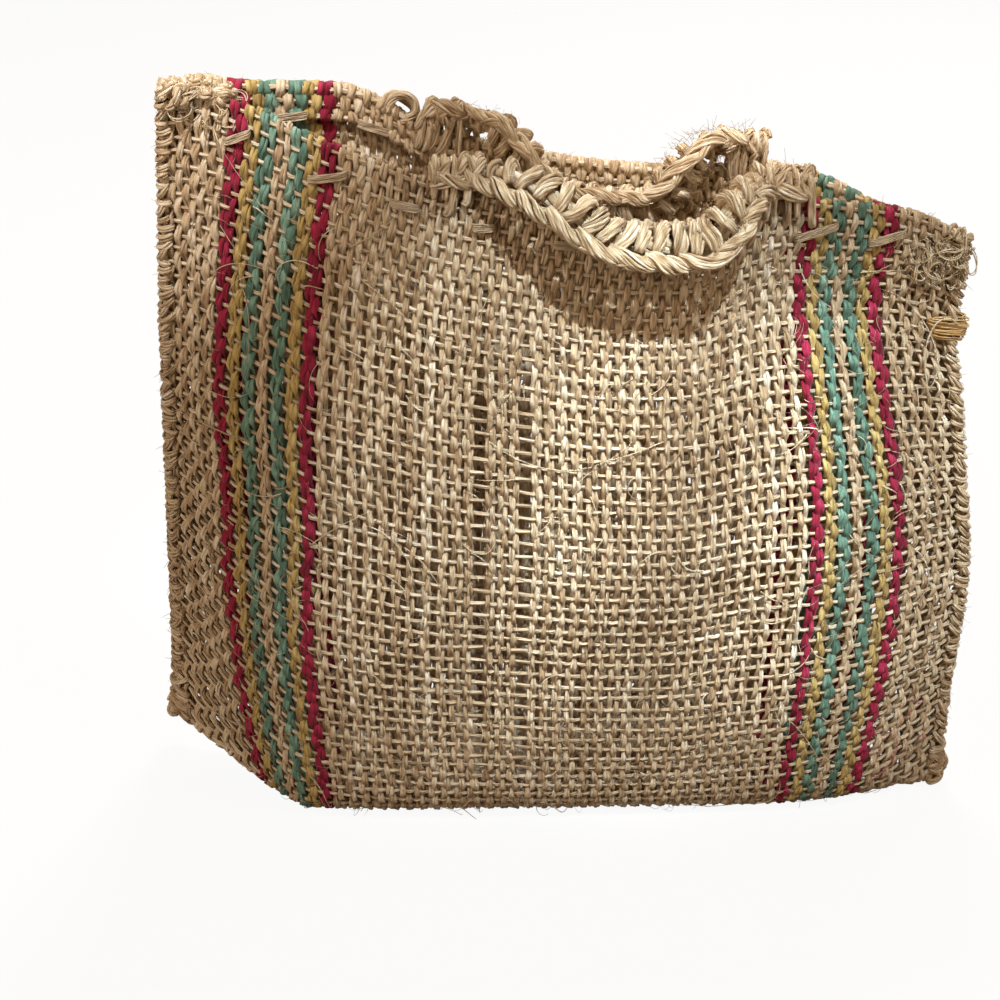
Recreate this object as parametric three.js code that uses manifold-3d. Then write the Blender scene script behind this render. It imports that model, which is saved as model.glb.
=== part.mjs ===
// A hand-woven sisal tote that stands with its mouth a little open.
// One long cloth is folded under at the bottom and whipped together up both sides. Its two ends are
// turned in and sewn down as hems, and each carries a short rope handle that droops to the front.
// Millimetres, +Z up, +X to the right and -Y to the front. The origin is the middle of the flat base.

import * as THREE from 'three';
import { mergeVertices } from 'three/addons/utils/BufferGeometryUtils.js';
import Module from 'manifold-3d';

// Cloth body
const baseHalfWidth = 195;
const rimHalfWidth = 184;
const baseHalfDepth = 36;
const rimHalfDepth = 32;
const bellyBulge = 9;
const leftRimHeight = 358;
const rightRimHeight = 298;
const bottomRadius = 20;
const clothThickness = 2.4;
const seamAllowance = 9;
const hemDepth = 20;

// The left bottom corner, which is pinched back and a little off the ground
const cornerWidth = 70;
const cornerSweep = 50;
const cornerLift = 18;

// The right side, which has slumped: its edge stands out at mid height, and a crease runs in below the rim
const slumpBulge = 8;
const creaseDepth = 7;
const creasePinch = 5;

// Shares of the height at which the belly, the slump and the crease lie, and how far they spread
const bellyRise = 1.4;
const slump = { level: 0.42, spread: 0.2 };
const crease = { level: 0.84, spread: 0.08 };

// How far the rims stand above a straight line between their corners: places from the left edge, -1, to
// the right edge, 1, and heights
const frontRimRise = [
	[ - 1, 0 ], [ - 0.9, 3 ], [ - 0.8, 2 ], [ - 0.6, - 7 ], [ - 0.44, - 12 ], [ - 0.35, - 15.5 ], [ - 0.2, - 17 ],
	[ 0.1, - 19 ], [ 0.28, - 14 ], [ 0.46, 0 ], [ 0.65, 3 ], [ 0.85, 1 ], [ 1, - 9 ],
];
const backRimRise = [
	[ - 1, 0 ], [ - 0.92, 6 ], [ - 0.8, 5.6 ], [ - 0.65, 8 ], [ - 0.54, 8.6 ], [ - 0.42, 0.5 ], [ - 0.36, - 6 ],
	[ - 0.28, - 7.5 ], [ 0.2, - 6.8 ], [ 0.34, - 2.5 ], [ 0.5, 5 ], [ 0.64, 4 ], [ 0.78, - 3 ], [ 0.88, - 3.5 ],
	[ 1, - 9 ],
];

// How squarely the ends of the base and of the mouth are filled
const fullness = { base: 5, rim: 2.4 };

// Upright slots in both panels, where the open weave lets light through. Places and heights are shares.
const slotColumns = 12;
const slotRows = 7;
const slotWidth = 3.2;
const slotHeightShare = 0.084;
const slotPlaces = { outermost: 0.8, lowest: 0.13, highest: 0.87 };

// Whip stitching over the side edges
const seamReach = 6;
const seamYarnThickness = 1.8;
const seamEndInset = 4;

// Running stitch through the hems
const hemStitchLength = 21;
const hemStitchSpacing = 36;
const hemStitchWidth = 3.2;
const hemYarnThickness = 1.2;
const hemStitchDrop = 14;
const hemEndMargin = 24;
const hemHoleClearance = 0.5;

// Rope handles. Each hangs lowest at its low place, a share of the way from its middle to its right root.
const frontLeftRoot = - 55;
const frontRightRoot = 93;
const backLeftRoot = - 57;
const backRightRoot = 81;
const frontDrop = 24.5;
const backDrop = 31;
const coreRadius = 4.5;
const wrapRadius = 10.5;
const wrapEndRadius = 6;
const wrapTaper = 24;
const ribCount = 26;
const ribDepth = 0.8;
const ridgeRadius = 3.2;
const stubLength = 22;
const handles = [
	{
		name: 'front', side: - 1, leftRoot: frontLeftRoot, rightRoot: frontRightRoot, drop: frontDrop,
		lowPlace: 0.3, leftFall: 0.9, rightFall: 0.72, ridgeAngle: 104,
	},
	{
		name: 'back', side: 1, leftRoot: backLeftRoot, rightRoot: backRightRoot, drop: backDrop,
		lowPlace: 0.1, leftFall: 0.78, rightFall: 0.7, ridgeAngle: 45,
	},
];

// Lashings that sew the rope ends down on the rims
const lashingThickness = 1.8;
const lashingLegs = 10;
const lashingWidth = 16;

// Loose ends of yarn
const looseYarnRadius = 1.7;
const seamLoopLevel = 0.85;
const seamLoopSize = 5;
const rimLoopPlace = - 78;
const rimLoopSize = 6;
const knotRadius = 3.2;
const leftKnotHeight = 14;
const rightKnotHeight = 20;

// Gaps between pieces
const clearance = 0.3;
const turningClearance = 0.5;
const restingGap = 1.8;
const seamGap = 1.4 * clearance;
const footGap = clearance + 0.8 * looseYarnRadius;
const rimFootGap = clearance + 0.35 * looseYarnRadius;

// Fineness of the surfaces
const columns = 28;
const wallLevels = [ 0.008, 0.03, 0.06, 0.2, 0.4, 0.56, 0.7, 0.78, 0.84, 0.9 ];
const ropeSides = 10;
const arcStations = 24;

// Colours
const sisal = 0xd6b88c;
const paleSisal = 0xe6d4ac;
const darkSisal = 0xb8966a;

const wasm = await Module();
wasm.setup();

const mix = ( a, b, share ) => a + ( b - a ) * share;
const clamp01 = ( value ) => Math.min( Math.max( value, 0 ), 1 );
const smooth = ( value ) => clamp01( value ) ** 2 * ( 3 - 2 * clamp01( value ) );

// Surface of the cloth. u runs from the left edge, -1, to the right edge, 1, and h from the base to the rim.

function bump( h, { level, spread } ) {

	return Math.exp( - ( ( ( h - level ) / spread ) ** 2 ) );

}

function halfWidthAt( h ) {

	return mix( baseHalfWidth, rimHalfWidth, h );

}

function sideways( u, h ) {

	return clamp01( ( u - 0.2 ) / 0.8 ) ** 1.5 * ( slumpBulge * bump( h, slump ) - creasePinch * bump( h, crease ) );

}

// How far into the pinched corner a place lies: 0 on the flat base, 1 at the left edge.
function cornerShare( u ) {

	const start = 1 - cornerWidth / baseHalfWidth;
	return clamp01( ( - u - start ) / ( 1 - start ) ) ** 1.2;

}

// The height at a place on a smooth curve through some [ place, height ] pairs.
function curveThrough( pairs, place ) {

	const last = pairs.length - 1;
	const grade = ( k ) => ( pairs[ k + 1 ][ 1 ] - pairs[ k ][ 1 ] ) / ( pairs[ k + 1 ][ 0 ] - pairs[ k ][ 0 ] );
	const slope = ( k ) => {

		if ( k === 0 || k === last ) return grade( Math.min( k, last - 1 ) );
		const before = pairs[ k ][ 0 ] - pairs[ k - 1 ][ 0 ];
		const after = pairs[ k + 1 ][ 0 ] - pairs[ k ][ 0 ];
		return ( grade( k - 1 ) * after + grade( k ) * before ) / ( before + after );

	};

	const k = Math.max( pairs.findLastIndex( ( [ start ], i ) => i < last && start <= place ), 0 );
	const [ start, low ] = pairs[ k ];
	const [ end, high ] = pairs[ k + 1 ];
	const width = end - start;
	const t = clamp01( ( place - start ) / width );
	return mix( low, high, smooth( t ) ) + width * t * ( 1 - t ) * ( slope( k ) * ( 1 - t ) - slope( k + 1 ) * t );

}

function rimHeight( u, side ) {

	const rise = curveThrough( side < 0 ? frontRimRise : backRimRise, u );
	return mix( leftRimHeight, rightRimHeight, ( u + 1 ) / 2 ) + rise;

}

function halfDepthAt( u, h ) {

	const base = ( baseHalfDepth - clothThickness ) * ( 1 - Math.abs( u ) ** fullness.base );
	const rim = ( rimHalfDepth - clothThickness ) * ( 1 - Math.abs( u ) ** fullness.rim );
	const belly = bellyBulge * ( 1 - u * u ) * Math.sin( Math.PI * h ** bellyRise );
	const creased = creaseDepth * bump( h, crease ) * smooth( ( u - 0.3 ) / 0.5 ) * ( 1 - Math.abs( u ) ** 6 );
	return clothThickness + mix( base, rim, smooth( h ) ) + belly - creased;

}

// A point of the cloth's outer face, or, with an inset, of the face that many millimetres inside it.
function clothPoint( u, h, side, inset = 0, floorInset = 0 ) {

	const narrowing = floorInset > 0 ? seamAllowance / halfWidthAt( h ) : 0;
	const place = u * ( 1 - narrowing );
	const corner = cornerShare( place );
	const floor = cornerLift * corner + floorInset;
	const z = mix( floor, rimHeight( place, side ), h );
	const depth = Math.max( halfDepthAt( place, h ) - inset, 0.9 );
	const radius = Math.min( bottomRadius - floorInset, depth - 0.8 );
	const under = clamp01( ( radius - ( z - floor ) ) / radius );
	const swept = cornerSweep * corner * ( 1 - smooth( h * 1.25 ) );
	const y = side * ( depth - radius + radius * Math.sqrt( 1 - under * under ) ) + swept;
	return new THREE.Vector3( place * halfWidthAt( h ) + sideways( place, h ), y, z );

}

// Joins rings of points, all with the same count, into a closed solid. The two ends are capped, or,
// where no caps are given, the last ring joins the first.
function loft( rings, startCap, endCap ) {

	const count = rings[ 0 ].length;
	const total = rings.length * count;
	const spans = startCap ? rings.length - 1 : rings.length;
	const positions = rings.flat().flatMap( ( point ) => point.toArray() );
	const faces = [];
	for ( let k = 0; k < spans; k ++ ) {

		for ( let i = 0; i < count; i ++ ) {

			const a = k * count + i;
			const b = k * count + ( i + 1 ) % count;
			const c = ( b + count ) % total;
			const d = ( a + count ) % total;
			faces.push( a, b, c, a, c, d );

		}

	}

	if ( startCap ) {

		const last = total - count;
		for ( const [ a, b, c ] of startCap ) faces.push( a, c, b );
		for ( const [ a, b, c ] of endCap ) faces.push( last + a, last + b, last + c );

	}

	const geometry = new THREE.BufferGeometry();
	geometry.setAttribute( 'position', new THREE.Float32BufferAttribute( positions, 3 ) );
	geometry.setIndex( faces );
	return geometry;

}

// The loft of a section outline, whose caps are cut into triangles from its flat drawing.
function loftSection( rings, outline ) {

	const cap = THREE.ShapeUtils.triangulateShape( outline, [] );
	return loft( rings, cap, cap );

}

function toManifold( geometry ) {

	const bare = geometry.clone();
	bare.deleteAttribute( 'normal' );
	bare.deleteAttribute( 'uv' );
	const merged = mergeVertices( bare, 1e-4 );
	return new wasm.Manifold( new wasm.Mesh( {
		numProp: 3,
		vertProperties: new Float32Array( merged.attributes.position.array ),
		triVerts: new Uint32Array( merged.index.array ),
	} ) );

}

function fromManifold( solid ) {

	const mesh = solid.getMesh();
	const geometry = new THREE.BufferGeometry();
	geometry.setAttribute( 'position', new THREE.BufferAttribute( mesh.vertProperties, 3 ) );
	geometry.setIndex( new THREE.BufferAttribute( mesh.triVerts, 1 ) );
	return geometry;

}

const group = new THREE.Group();

function addPiece( name, geometry, color, roughness ) {

	geometry.computeVertexNormals();
	const material = new THREE.MeshStandardMaterial( { color, roughness, metalness: 0 } );
	const mesh = new THREE.Mesh( geometry, material );
	mesh.name = name;
	group.add( mesh );

}

// Woven body: outer face up, over the rim, down the turned-in hem and the inner face

// The cloth's columns, which lie a little closer towards the side edges.
const columnShares = Array.from( { length: columns + 1 }, ( _, i ) => {

	const share = 2 * i / columns - 1;
	return mix( share, Math.sin( share * Math.PI / 2 ), 0.5 );

} );
const hemLevel = 1 - hemDepth / ( ( leftRimHeight + rightRimHeight ) / 2 );

function clothRing( h, inset, floorInset ) {

	const front = columnShares.map( ( u ) => clothPoint( u, h, - 1, inset, floorInset ) );
	const back = columnShares.map( ( u ) => clothPoint( u, h, 1, inset, floorInset ) ).reverse();
	return [ ...front, ...back ];

}

// Triangles between the front and back halves of a ring.
function clothCap() {

	const cap = [];
	for ( let i = 0; i < columns; i ++ ) {

		const back = 2 * columns + 1 - i;
		cap.push( [ i, i + 1, back - 1 ], [ i, back - 1, back ] );

	}

	return cap;

}

// Where the running stitch passes through a hem: the shares of its holes, outside stitch by outside stitch.
function hemHoles() {

	const run = 2 * ( rimHalfWidth - hemEndMargin );
	const stitches = Math.floor( ( run - hemStitchLength ) / hemStitchSpacing ) + 1;
	const start = - ( ( stitches - 1 ) * hemStitchSpacing + hemStitchLength ) / 2;
	return Array.from( { length: stitches }, ( _, i ) => {

		const left = start + i * hemStitchSpacing;
		return [ left, left + hemStitchLength ].map( ( x ) => x / rimHalfWidth );

	} );

}

const stitchLevel = 1 - hemStitchDrop / ( ( leftRimHeight + rightRimHeight ) / 2 );

// Axes at a place on the cloth: along the rim, out of the cloth, and up it between two heights.
function clothAxes( u, h, side, low, high ) {

	const step = 0.01;
	const along = clothPoint( u + step, h, side ).sub( clothPoint( u - step, h, side ) ).normalize();
	const up = clothPoint( u, high, side ).sub( clothPoint( u, low, side ) );
	const out = along.clone().cross( up ).normalize().multiplyScalar( - side );
	return { along, out, up: out.clone().cross( along ).multiplyScalar( - side ).normalize() };

}

function hemAxes( u, side ) {

	return clothAxes( u, stitchLevel, side, hemLevel, 1 );

}

// A box that cuts through the cloth, its middle some way inside the outer face.
function cutter( point, { along, out, up }, size, inset ) {

	const box = new THREE.BoxGeometry( ...size );
	const axes = new THREE.Matrix4().makeBasis( along, up.clone().cross( along ), up );
	box.applyMatrix4( axes.setPosition( point.addScaledVector( out, - inset ) ) );
	return toManifold( box );

}

function holeCutter( u, side ) {

	const [ width, height ] = [ hemYarnThickness, hemStitchWidth ].map( ( yarn ) => yarn + 2 * hemHoleClearance );
	const size = [ width, 8 * clothThickness, height ];
	return cutter( clothPoint( u, stitchLevel, side ), hemAxes( u, side ), size, clothThickness );

}

function slotCutter( u, h, side ) {

	const [ low, high ] = [ - 0.5, 0.5 ].map( ( share ) => h + share * slotHeightShare );
	const height = clothPoint( u, low, side ).distanceTo( clothPoint( u, high, side ) );
	const size = [ slotWidth, 4 * clothThickness, height ];
	return cutter( clothPoint( u, h, side ), clothAxes( u, h, side, low, high ), size, clothThickness / 2 );

}

let body = toManifold( loft( [
	clothRing( 0, 0, 0 ),
	...wallLevels.map( ( h ) => clothRing( h, 0, 0 ) ),
	clothRing( hemLevel, 0, 0 ),
	clothRing( 1, 0, 0 ),
	clothRing( 1, 2 * clothThickness, clothThickness ),
	clothRing( hemLevel, 2 * clothThickness, clothThickness ),
	clothRing( hemLevel - 0.001, clothThickness, clothThickness ),
	...wallLevels.map( ( h ) => clothRing( h, clothThickness, clothThickness ) ).reverse(),
	clothRing( 0, clothThickness, clothThickness ),
], clothCap(), clothCap() ) );
for ( const side of [ - 1, 1 ] ) {

	for ( const u of hemHoles().flat() ) body = body.subtract( holeCutter( u, side ) );
	for ( let i = 0; i < slotColumns; i ++ ) {

		const u = mix( - slotPlaces.outermost, slotPlaces.outermost, i / ( slotColumns - 1 ) );
		for ( let j = 0; j < slotRows; j ++ ) {

			const h = mix( slotPlaces.lowest, slotPlaces.highest, j / ( slotRows - 1 ) );
			body = body.subtract( slotCutter( u, h, side ) );

		}

	}

}

addPiece( 'woven_body', fromManifold( body ), sisal, 0.85 );

// Hem yarns, in and out through the holes as flat ribbons

const ribbonCorners = [ [ - 1, - 1 ], [ 1, - 1 ], [ 1, 1 ], [ - 1, 1 ] ];
const ribbonSection = ribbonCorners.map( ( [ x, y ] ) => new THREE.Vector2( x, y ) );

function hemYarn( side ) {

	const outside = clearance + hemYarnThickness / 2;
	const inside = - 2 * clothThickness - 2 * clearance - hemYarnThickness / 2;
	const stops = [];
	hemHoles().forEach( ( [ left, right ], index, all ) => {

		const middle = ( left + right ) / 2;
		if ( index > 0 ) stops.push( [ left, inside ] );
		stops.push( [ left, outside ], [ mix( left, middle, 0.35 ), outside + 0.5 ] );
		stops.push( [ mix( right, middle, 0.35 ), outside + 0.5 ], [ right, outside ] );
		if ( index < all.length - 1 ) stops.push( [ right, inside ] );

	} );
	const frames = stops.map( ( [ u, depth ] ) => {

		const axes = hemAxes( u, side );
		return { ...axes, point: clothPoint( u, stitchLevel, side ).addScaledVector( axes.out, depth ) };

	} );
	const half = { along: hemYarnThickness / 2, up: hemStitchWidth / 2 };
	const rings = frames.map( ( frame, k ) => {

		const before = frames[ Math.max( k - 1, 0 ) ].point;
		const after = frames[ Math.min( k + 1, frames.length - 1 ) ].point;
		const incoming = frame.point.clone().sub( before ).normalize();
		const outgoing = after.clone().sub( frame.point ).normalize();
		const travel = incoming.add( outgoing ).normalize();
		const across = frame.up.clone().cross( travel ).normalize().multiplyScalar( half.along );
		const turn = Math.abs( travel.dot( frame.along ) );
		across.multiplyScalar( turn > 0.55 && turn < 0.95 ? Math.SQRT2 : 1 );
		const rise = frame.up.clone().multiplyScalar( half.up );
		const corner = ( a, b ) => frame.point.clone().addScaledVector( across, a ).addScaledVector( rise, b );
		return ribbonSection.map( ( { x, y } ) => corner( x, y ) );

	} );
	return loftSection( rings, ribbonSection );

}

addPiece( 'front_hem_yarn', hemYarn( - 1 ), paleSisal, 0.8 );
addPiece( 'back_hem_yarn', hemYarn( 1 ), paleSisal, 0.8 );

// Seam yarns: a sleeve of whip stitches that wraps each side edge of the cloth, front to back

function seamRing( h, edge ) {

	const points = [];
	for ( const thickness of [ seamYarnThickness, 0 ] ) {

		const path = [];
		for ( const side of [ - 1, 1 ] ) {

			const leg = [ seamReach, seamReach / 2, 0 ].map( ( inset ) => {

				const point = clothPoint( edge * ( 1 - inset / halfWidthAt( h ) ), h, side );
				point.y += side * ( seamGap + thickness );
				if ( inset === 0 ) point.x += edge * ( seamGap + thickness );
				return point;

			} );
			path.push( ...( side < 0 ? leg : leg.reverse() ) );

		}

		points.push( ...( thickness > 0 ? path : path.reverse() ) );

	}

	return edge > 0 ? points : points.reverse();

}

const lowSeamLevel = seamEndInset / rightRimHeight;
const seamLevels = [ lowSeamLevel, ...wallLevels.slice( 1 ), hemLevel, 1 - lowSeamLevel ];
for ( const [ name, edge ] of [ [ 'left_seam_yarn', - 1 ], [ 'right_seam_yarn', 1 ] ] ) {

	const rings = seamLevels.map( ( h ) => seamRing( h, edge ) );
	addPiece( name, loftSection( rings, rings[ 0 ].map( ( { x, y } ) => new THREE.Vector2( x, y ) ) ), sisal, 0.85 );

}

// Handles. Each turns on a line through its two roots, which lie on top of the rim.

function rimMiddle( x, side ) {

	return clothPoint( x / rimHalfWidth, 1, side, clothThickness );

}

function handleFrame( { side, leftRoot, rightRoot } ) {

	const left = rimMiddle( leftRoot, side );
	const right = rimMiddle( rightRoot, side );
	const along = right.clone().sub( left ).normalize();
	const above = ( x ) => {

		const point = rimMiddle( x, side );
		return point.z - left.z - ( point.x - left.x ) * along.z / along.x;

	};

	const lifts = [ [ leftRoot, 1 ], [ rightRoot, - 1 ] ].flatMap( ( [ root, inward ] ) => [
		above( root - inward * stubLength / 2 ) + coreRadius,
		above( root + inward * stubLength / 2 ) + wrapEndRadius,
		above( root + inward * ( stubLength + wrapTaper ) / 2 ) + mix( wrapEndRadius, wrapRadius, 0.5 ),
	] );
	const lift = Math.max( ...lifts ) + turningClearance;
	const out = along.clone().cross( new THREE.Vector3( 0, 0, 1 ) ).normalize();
	const up = out.clone().cross( along );
	const centre = left.clone().add( right ).multiplyScalar( 0.5 );
	centre.z += lift;
	const halfSpan = left.distanceTo( right ) / 2;
	return { side, along, out, up, centre, halfSpan, halfArc: halfSpan - stubLength / 2 };

}

// How far the drooping side of the cloth stands out from the handle's axis, at a place along it.
function clothOffset( frame, s, depth, inset ) {

	const x = frame.centre.x + s * frame.along.x;
	const u = x / rimHalfWidth;
	const top = rimHeight( u, frame.side );
	const point = clothPoint( u, 1 - depth / top, frame.side, inset );
	return point.sub( frame.centre ).dot( frame.out );

}

function restOffset( frame ) {

	const inset = frame.side < 0 ? 0 : 2 * clothThickness;
	const stands = [ - 1, - 0.5, 0, 0.5, 1 ].flatMap( ( share ) => {

		const drops = Math.abs( share ) < 1 ? [ 0, 1, 2, 3 ] : [ 0 ];
		return drops.map( ( drop ) => clothOffset( frame, share * frame.halfArc, drop * wrapRadius, inset ) );

	} );
	return Math.max( ...stands ) + wrapRadius + restingGap;

}

// The rope's middle line: straight at the roots, then out over the rim and down, and level where it is lowest.
function ropePoint( frame, handle, s ) {

	const low = handle.lowPlace * frame.halfArc;
	const [ reach, fall ] = s < low
		? [ ( s + frame.halfArc ) / ( frame.halfArc + low ), handle.leftFall ]
		: [ ( frame.halfArc - s ) / ( frame.halfArc - low ), handle.rightFall ];
	const turn = Math.PI / 2 * smooth( clamp01( reach ) / fall );
	const out = restOffset( frame ) * Math.sin( turn ) ** 0.6;
	const up = - handle.drop * mix( 1 - Math.cos( turn ), Math.sin( turn ) ** 2, 0.5 );
	return frame.centre.clone().addScaledVector( frame.along, s )
		.addScaledVector( frame.out, out ).addScaledVector( frame.up, up );

}

function ropeStation( frame, handle, s ) {

	const step = 0.5;
	const travel = ropePoint( frame, handle, s + step ).sub( ropePoint( frame, handle, s - step ) ).normalize();
	const side = frame.up.clone().cross( travel ).normalize().negate();
	const top = travel.clone().cross( side ).normalize().negate();
	return { point: ropePoint( frame, handle, s ), side, top };

}

function ropeRing( { point, side, top }, radius ) {

	return Array.from( { length: ropeSides }, ( _, i ) => {

		const angle = - 2 * Math.PI * i / ropeSides;
		return point.clone().addScaledVector( side, radius * Math.cos( angle ) )
			.addScaledVector( top, radius * Math.sin( angle ) );

	} );

}

const ropeOutline = Array.from( { length: ropeSides }, ( _, i ) => {

	const angle = 2 * Math.PI * i / ropeSides;
	return new THREE.Vector2( Math.cos( angle ), Math.sin( angle ) );

} );

function wrapRadiusAt( frame, s ) {

	return mix( wrapEndRadius, wrapRadius, smooth( ( frame.halfArc - Math.abs( s ) ) / wrapTaper ) );

}

// Evenly spread places from -end to end.
function spread( end, count ) {

	return Array.from( { length: count + 1 }, ( _, i ) => mix( - end, end, i / count ) );

}

function ropeCore( frame, handle ) {

	const ends = frame.halfSpan + stubLength / 2;
	const places = [ - ends, ...spread( frame.halfArc, arcStations ), ends ];
	const rings = places.map( ( s ) => ropeRing( ropeStation( frame, handle, s ), coreRadius ) );
	return loftSection( rings, ropeOutline );

}

// The wrapping is a ribbed sleeve, open at both ends, with the core inside it.
function ropeWrap( frame, handle ) {

	const outer = spread( frame.halfArc, 2 * ribCount ).map( ( s, k ) => {

		const radius = wrapRadiusAt( frame, s ) - ( k % 2 ? 0 : Math.min( ribDepth, wrapEndRadius / 20 ) );
		return ropeRing( ropeStation( frame, handle, s ), radius );

	} );
	const bore = coreRadius + turningClearance;
	const inner = spread( frame.halfArc, arcStations ).map( ( s ) => {

		return ropeRing( ropeStation( frame, handle, s ), bore );

	} );
	return loft( [ ...outer, ...inner.reverse() ] );

}

function ropeRidge( frame, handle ) {

	const angle = THREE.MathUtils.degToRad( handle.ridgeAngle );
	const points = spread( 0.86 * frame.halfArc, arcStations ).map( ( s ) => {

		const { point, side, top } = ropeStation( frame, handle, s );
		const reach = wrapRadiusAt( frame, s ) + clearance + ridgeRadius;
		return point.addScaledVector( side, reach * Math.sin( angle ) ).addScaledVector( top, reach * Math.cos( angle ) );

	} );
	return yarnTube( points, ridgeRadius, 6, arcStations );

}

// A round yarn or cord along a smooth line through some points.
function yarnTube( points, radius, sides, steps ) {

	const section = new THREE.Shape( Array.from( { length: sides }, ( _, i ) => {

		const angle = 2 * Math.PI * i / sides;
		return new THREE.Vector2( radius * Math.cos( angle ), radius * Math.sin( angle ) );

	} ) );
	const extrudePath = new THREE.CatmullRomCurve3( points );
	return new THREE.ExtrudeGeometry( section, { steps, extrudePath, bevelEnabled: false } );

}

// A lashing is a saddle over the rope's end, with a leg down each face of the hem.
function lashing( frame, root ) {

	const inner = coreRadius + turningClearance;
	const outer = inner + lashingThickness;
	const below = THREE.MathUtils.degToRad( 35 );
	const steps = 8;
	const arc = ( radius ) => Array.from( { length: steps + 1 }, ( _, i ) => {

		const angle = mix( - below, Math.PI + below, i / steps );
		return new THREE.Vector2( radius * Math.cos( angle ), radius * Math.sin( angle ) );

	} );
	const sections = [ - 0.5, - 0.25, 0, 0.25, 0.5 ].map( ( share ) => {

		const s = root * frame.halfSpan + share * lashingWidth;
		const centre = frame.centre.clone().addScaledVector( frame.along, s );
		const rim = rimMiddle( centre.x, frame.side );
		const foot = rim.clone().sub( centre ).dot( frame.up ) - lashingLegs;
		const faces = [ 0, 2 * clothThickness ].flatMap( ( inset ) => {

			return [ 0, lashingLegs ].map( ( depth ) => clothOffset( frame, s, depth, inset ) );

		} );
		const right = - Math.min( ...faces ) + turningClearance;
		const left = - Math.max( ...faces ) - turningClearance;
		const knee = - inner - turningClearance;
		const outline = [
			new THREE.Vector2( right + lashingThickness, foot ),
			new THREE.Vector2( right + lashingThickness, knee - turningClearance ),
			...arc( outer ),
			new THREE.Vector2( left - lashingThickness, knee - turningClearance ),
			new THREE.Vector2( left - lashingThickness, foot ),
			new THREE.Vector2( left, foot ),
			new THREE.Vector2( left, knee - turningClearance ),
			...arc( inner ).reverse(),
			new THREE.Vector2( right, knee - turningClearance ),
			new THREE.Vector2( right, foot ),
		];
		return { centre, outline };

	} );
	const rings = sections.map( ( { centre, outline } ) => outline.map( ( { x, y } ) => {

		return centre.clone().addScaledVector( frame.out, - x ).addScaledVector( frame.up, y );

	} ) );
	return loftSection( rings, sections[ 0 ].outline );

}

for ( const handle of handles ) {

	const frame = handleFrame( handle );
	addPiece( `${ handle.name }_handle_core`, ropeCore( frame, handle ), darkSisal, 0.9 );
	addPiece( `${ handle.name }_handle_wrap`, ropeWrap( frame, handle ), sisal, 0.85 );
	addPiece( `${ handle.name }_handle_ridge`, ropeRidge( frame, handle ), paleSisal, 0.8 );
	addPiece( `${ handle.name }_left_lashing`, lashing( frame, - 1 ), paleSisal, 0.85 );
	addPiece( `${ handle.name }_right_lashing`, lashing( frame, 1 ), paleSisal, 0.85 );

}

// Loose ends: a slack loop on the right seam, one on the back rim, and the knotted tail of each seam

// The outermost face of a seam sleeve at a height share, moved outward by a gap.
function seamFace( h, edge, gap ) {

	const point = clothPoint( edge, h, - 1 ).add( clothPoint( edge, h, 1 ) ).multiplyScalar( 0.5 );
	point.x += edge * ( seamGap + seamYarnThickness + gap );
	return point;

}

// A slack loop with both feet on one spot, standing out by its size.
function looseLoop( foot, out, across, size ) {

	const half = [ [ 0, 0.45 ], [ 0.55, 0.75 ], [ 1.25, 0.5 ] ];
	const shape = [ ...half.map( ( [ reach, width ] ) => [ reach, - width ] ), [ 1.5, 0 ], ...half.reverse() ];
	const points = shape.map( ( [ reach, width ] ) => {

		return foot.clone().addScaledVector( out, size * reach ).addScaledVector( across, size * width );

	} );
	return yarnTube( points, looseYarnRadius, 6, 16 );

}

const xAxis = new THREE.Vector3( 1, 0, 0 );
const zAxis = new THREE.Vector3( 0, 0, 1 );
const loopFoot = seamFace( seamLoopLevel, 1, footGap );
addPiece( 'right_seam_loop', looseLoop( loopFoot, xAxis, zAxis, seamLoopSize ), sisal, 0.85 );

const [ rimBefore, rimAfter ] = [ - rimLoopSize, rimLoopSize ].map( ( step ) => rimMiddle( rimLoopPlace + step, 1 ) );
const rimAlong = rimAfter.clone().sub( rimBefore ).normalize();
const rimOut = zAxis.clone().addScaledVector( rimAlong, - rimAlong.z ).normalize();
const rimFoot = rimMiddle( rimLoopPlace, 1 ).addScaledVector( rimOut, rimFootGap );
addPiece( 'back_rim_loop', looseLoop( rimFoot, rimOut, rimAlong, rimLoopSize ), paleSisal, 0.85 );

const knots = [ [ 'left_seam_knot', - 1, leftKnotHeight ], [ 'right_seam_knot', 1, rightKnotHeight ] ];
for ( const [ name, edge, height ] of knots ) {

	const knot = new THREE.SphereGeometry( knotRadius, 10, 8 );
	knot.scale( 1, 1, 1.4 );
	const rise = edge < 0 ? leftRimHeight : rightRimHeight;
	const place = seamFace( height / rise, edge, knotRadius + clearance );
	knot.translate( place.x, place.y, place.z );
	addPiece( name, knot, paleSisal, 0.9 );

}

export default group;
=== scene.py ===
# A hand-woven sisal tote: striped cloth laid yarn by yarn, whipped side edges and two knotted rope handles.
# Metres, +Z up, the front of the bag towards -Y.

import math
import bpy
import numpy as np
from mathutils import Matrix, Vector


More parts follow.
